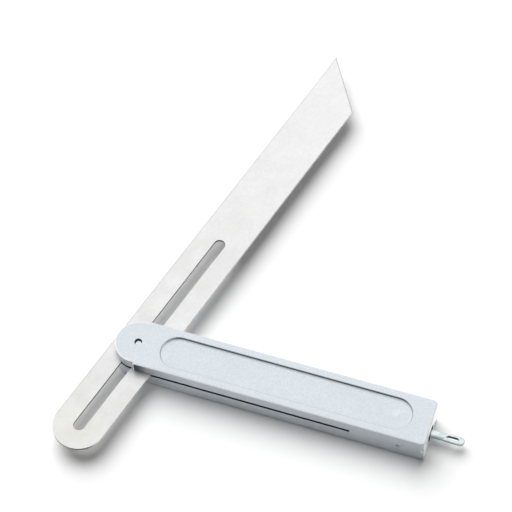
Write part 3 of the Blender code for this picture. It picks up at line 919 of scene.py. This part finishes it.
bmesh.ops.remove_doubles(handle, verts=handle.verts, dist=SHAPE_MERGE)
bmesh.ops.dissolve_degenerate(handle, edges=handle.edges, dist=SHAPE_MERGE)
print("bores cut:", len(handle.faces), "faces")

# %% Handle: finish
finish_piece(handle, "handle_casting", "handle", casting, ["handle_body"], soften=0.08)

# %% [markdown]
# ## The blade
# The blade is stamped from 1 mm strip, 20 mm wide: one end round, the other cut at 45 degrees, with a
# long slot for the stud. The outline is a plate with two corners beveled to a half circle, and the slot
# is cut with a second plate. A fine rim on every edge catches the light, as a tumbled edge does.

# %% Blade
BLADE_BOTTOM = 6.35
BLADE_TOP = 7.35
SLOT_WIDTH = 4.48
SLOT_TIP_END = 56.4
SLOT_ROUND_END = 40.48
BLADE_RIM = 0.08
round_end = blade_half - SHY
blade = slab([
    (-PIVOT_TO_ROUND_END, -blade_half, round_end, 48), (PIVOT_TO_TIP - BLADE_WIDTH, -blade_half, 0, 0),
    (PIVOT_TO_TIP, blade_half, 0, 0), (-PIVOT_TO_ROUND_END, blade_half, round_end, 48),
], BLADE_BOTTOM, BLADE_TOP, BLADE_RIM, 2)
blade = combine(blade, slot_cutter(
    -SLOT_ROUND_END, SLOT_TIP_END, SLOT_WIDTH / 2, 24, BLADE_BOTTOM - 1, BLADE_TOP + 1))
finish_piece(
    blade, "blade_plate", "blade", stainless, ["blade"], turn=BLADE_ANGLE, soften=0.06)

# %% [markdown]
# ## The lock screw
# The screw starts as 3 mm round rod. Its outer end was flattened and slotted to an eye that fingers or a
# nail can turn. The round part is a lathe shape, the eye is a slab with generous rims, and a Boolean joins
# them. A remesh then melts the joint as forging would, and a smoothing pass evens it out.

# %% Lock screw: neck and eye
ROD_RADIUS = 1.5
EYE_HALF, EYE_FLAT, EYE_RIM = 1.7, 0.8, 0.55
EYE_START, EYE_SHOULDER, EYE_REACH = 115.6, 119.4, 125.5
EYE_START_HALF = 1.35
EYE_SLOT_START, EYE_SLOT_END, EYE_SLOT_HALF = 118.9, 123.2, 0.62
MELT_CELL = 0.08
neck = lathe([
    (112.3, 0), (112.3, ROD_RADIUS), (116.9, ROD_RADIUS), (117.8, 1.4),
    (118.6, 1.1), (119.0, 0.7), (119.1, 0),
], steps=48, height=LOCK_HEIGHT)
eye_end = EYE_HALF - SHY
eye = slab([
    (EYE_START, -EYE_START_HALF, 0.4, 6), (EYE_SHOULDER, -EYE_HALF, 1.6, 12),
    (EYE_REACH, -EYE_HALF, eye_end, 24), (EYE_REACH, EYE_HALF, eye_end, 24),
    (EYE_SHOULDER, EYE_HALF, 1.6, 12), (EYE_START, EYE_START_HALF, 0.4, 6),
], LOCK_HEIGHT - EYE_FLAT, LOCK_HEIGHT + EYE_FLAT, EYE_RIM, 6)
eye_slot = slot_cutter(EYE_SLOT_START, EYE_SLOT_END, EYE_SLOT_HALF, 16, LOCK_HEIGHT - 2, LOCK_HEIGHT + 2)
melted = as_object(combine(combine(neck, eye, "UNION"), eye_slot), "melted")
remesh = melted.modifiers.new("melt", "REMESH")
remesh.mode = "VOXEL"
remesh.voxel_size = MELT_CELL
smooth = melted.modifiers.new("even", "SMOOTH")
smooth.iterations = 14
screw = evaluated(melted)
bpy.data.objects.remove(melted)
print("eye:", len(screw.faces), "faces")

# %% [markdown]
# The thread is a ridge of three edges that a spin carries round the shank and along it at once: the
# offset per step makes the 0.5 mm pitch. Its two ends are capped, so it is a closed solid that a Boolean
# can join to the shank. A last Boolean joins the shank to the neck.

# %% Lock screw: threaded shank
PITCH = 0.5
THREAD_START = 105.1
THREAD_TURNS = 15
STEPS_A_TURN = 32
RIDGE_ROOT, RIDGE_WIDTH = 1.2, 0.46
SHANK_RADIUS = 1.25
SHANK_START, SHANK_END = 104.7, 113.2
shank = lathe([
    (SHANK_START, 0), (SHANK_START, SHANK_RADIUS - 0.35), (SHANK_START + 0.35, SHANK_RADIUS),
    (SHANK_END, SHANK_RADIUS), (SHANK_END, 0),
], steps=48)
ridge = bmesh.new()
first = ridge.faces.new([ridge.verts.new((THREAD_START + x, 0, r)) for x, r in (
    (0, RIDGE_ROOT), (RIDGE_WIDTH / 2, ROD_RADIUS), (RIDGE_WIDTH, RIDGE_ROOT))])
last = bmesh.ops.spin(ridge, geom=list(first.verts) + list(first.edges), cent=(0, 0, 0), axis=(1, 0, 0),
                      dvec=(PITCH / STEPS_A_TURN, 0, 0), angle=math.radians(360) * THREAD_TURNS,
                      steps=STEPS_A_TURN * THREAD_TURNS)["geom_last"]
bmesh.ops.contextual_create(ridge, geom=[g for g in last if isinstance(g, bmesh.types.BMEdge)])
bmesh.ops.recalc_face_normals(ridge, faces=ridge.faces)
shank = moved(combine(shank, ridge, "UNION"), (0, 0, LOCK_HEIGHT))
print("threaded shank:", len(shank.faces), "faces")
screw = combine(screw, shank, "UNION")
print("whole screw:", len(screw.faces), "faces")
finish_piece(screw, "eye_screw", "lock", plating, ["lock_screw"])

# %% [markdown]
# ## The clamp stud
# The stud is a turned pin with a thin neck in the upper cheek and a thick shank in the lower one. Its end
# shows in the hole in the head, with the shallow dish that a centre drill leaves. The wedge rod's nose goes
# through the shank, and a driver slot in its foot lets it be set.

# %% Clamp stud
FOOT, SHANK_TOP, STUD_END = 0.6, 6.0, 10.9
STUD_SHANK, STUD_NECK = 2.1, 1.25
SHANK_CHAMFER, END_CHAMFER = 0.25, 0.1
DISH_RADIUS, DISH_DEPTH = 1.0, 0.12
DRIVER_SLOT_HALF, DRIVER_SLOT_TOP = 0.35, 1.4
stud = lathe([
    (FOOT, 0), (FOOT, STUD_SHANK - SHANK_CHAMFER), (FOOT + SHANK_CHAMFER, STUD_SHANK),
    (SHANK_TOP - SHANK_CHAMFER, STUD_SHANK), (SHANK_TOP, STUD_SHANK - SHANK_CHAMFER),
    (SHANK_TOP, STUD_NECK), (STUD_END - END_CHAMFER, STUD_NECK), (STUD_END, STUD_NECK - END_CHAMFER),
    (STUD_END, DISH_RADIUS), (STUD_END - DISH_DEPTH, 0),
])
nose_seat = lathe([
    (-1.15, 0), (-1.15, 0.65), (2.2, ROD_BORE), (4.0, ROD_BORE), (4.0, 0),
], height=LOCK_HEIGHT)
stud = combine(turned(stud, -QUARTER, "Y"), nose_seat)
stud = combine(stud, block((-4, -DRIVER_SLOT_HALF, -1), (4, DRIVER_SLOT_HALF, DRIVER_SLOT_TOP)))
finish_piece(stud, "turned_stud", "handle", stud_steel, ["clamp_stud"], soften=0.05)
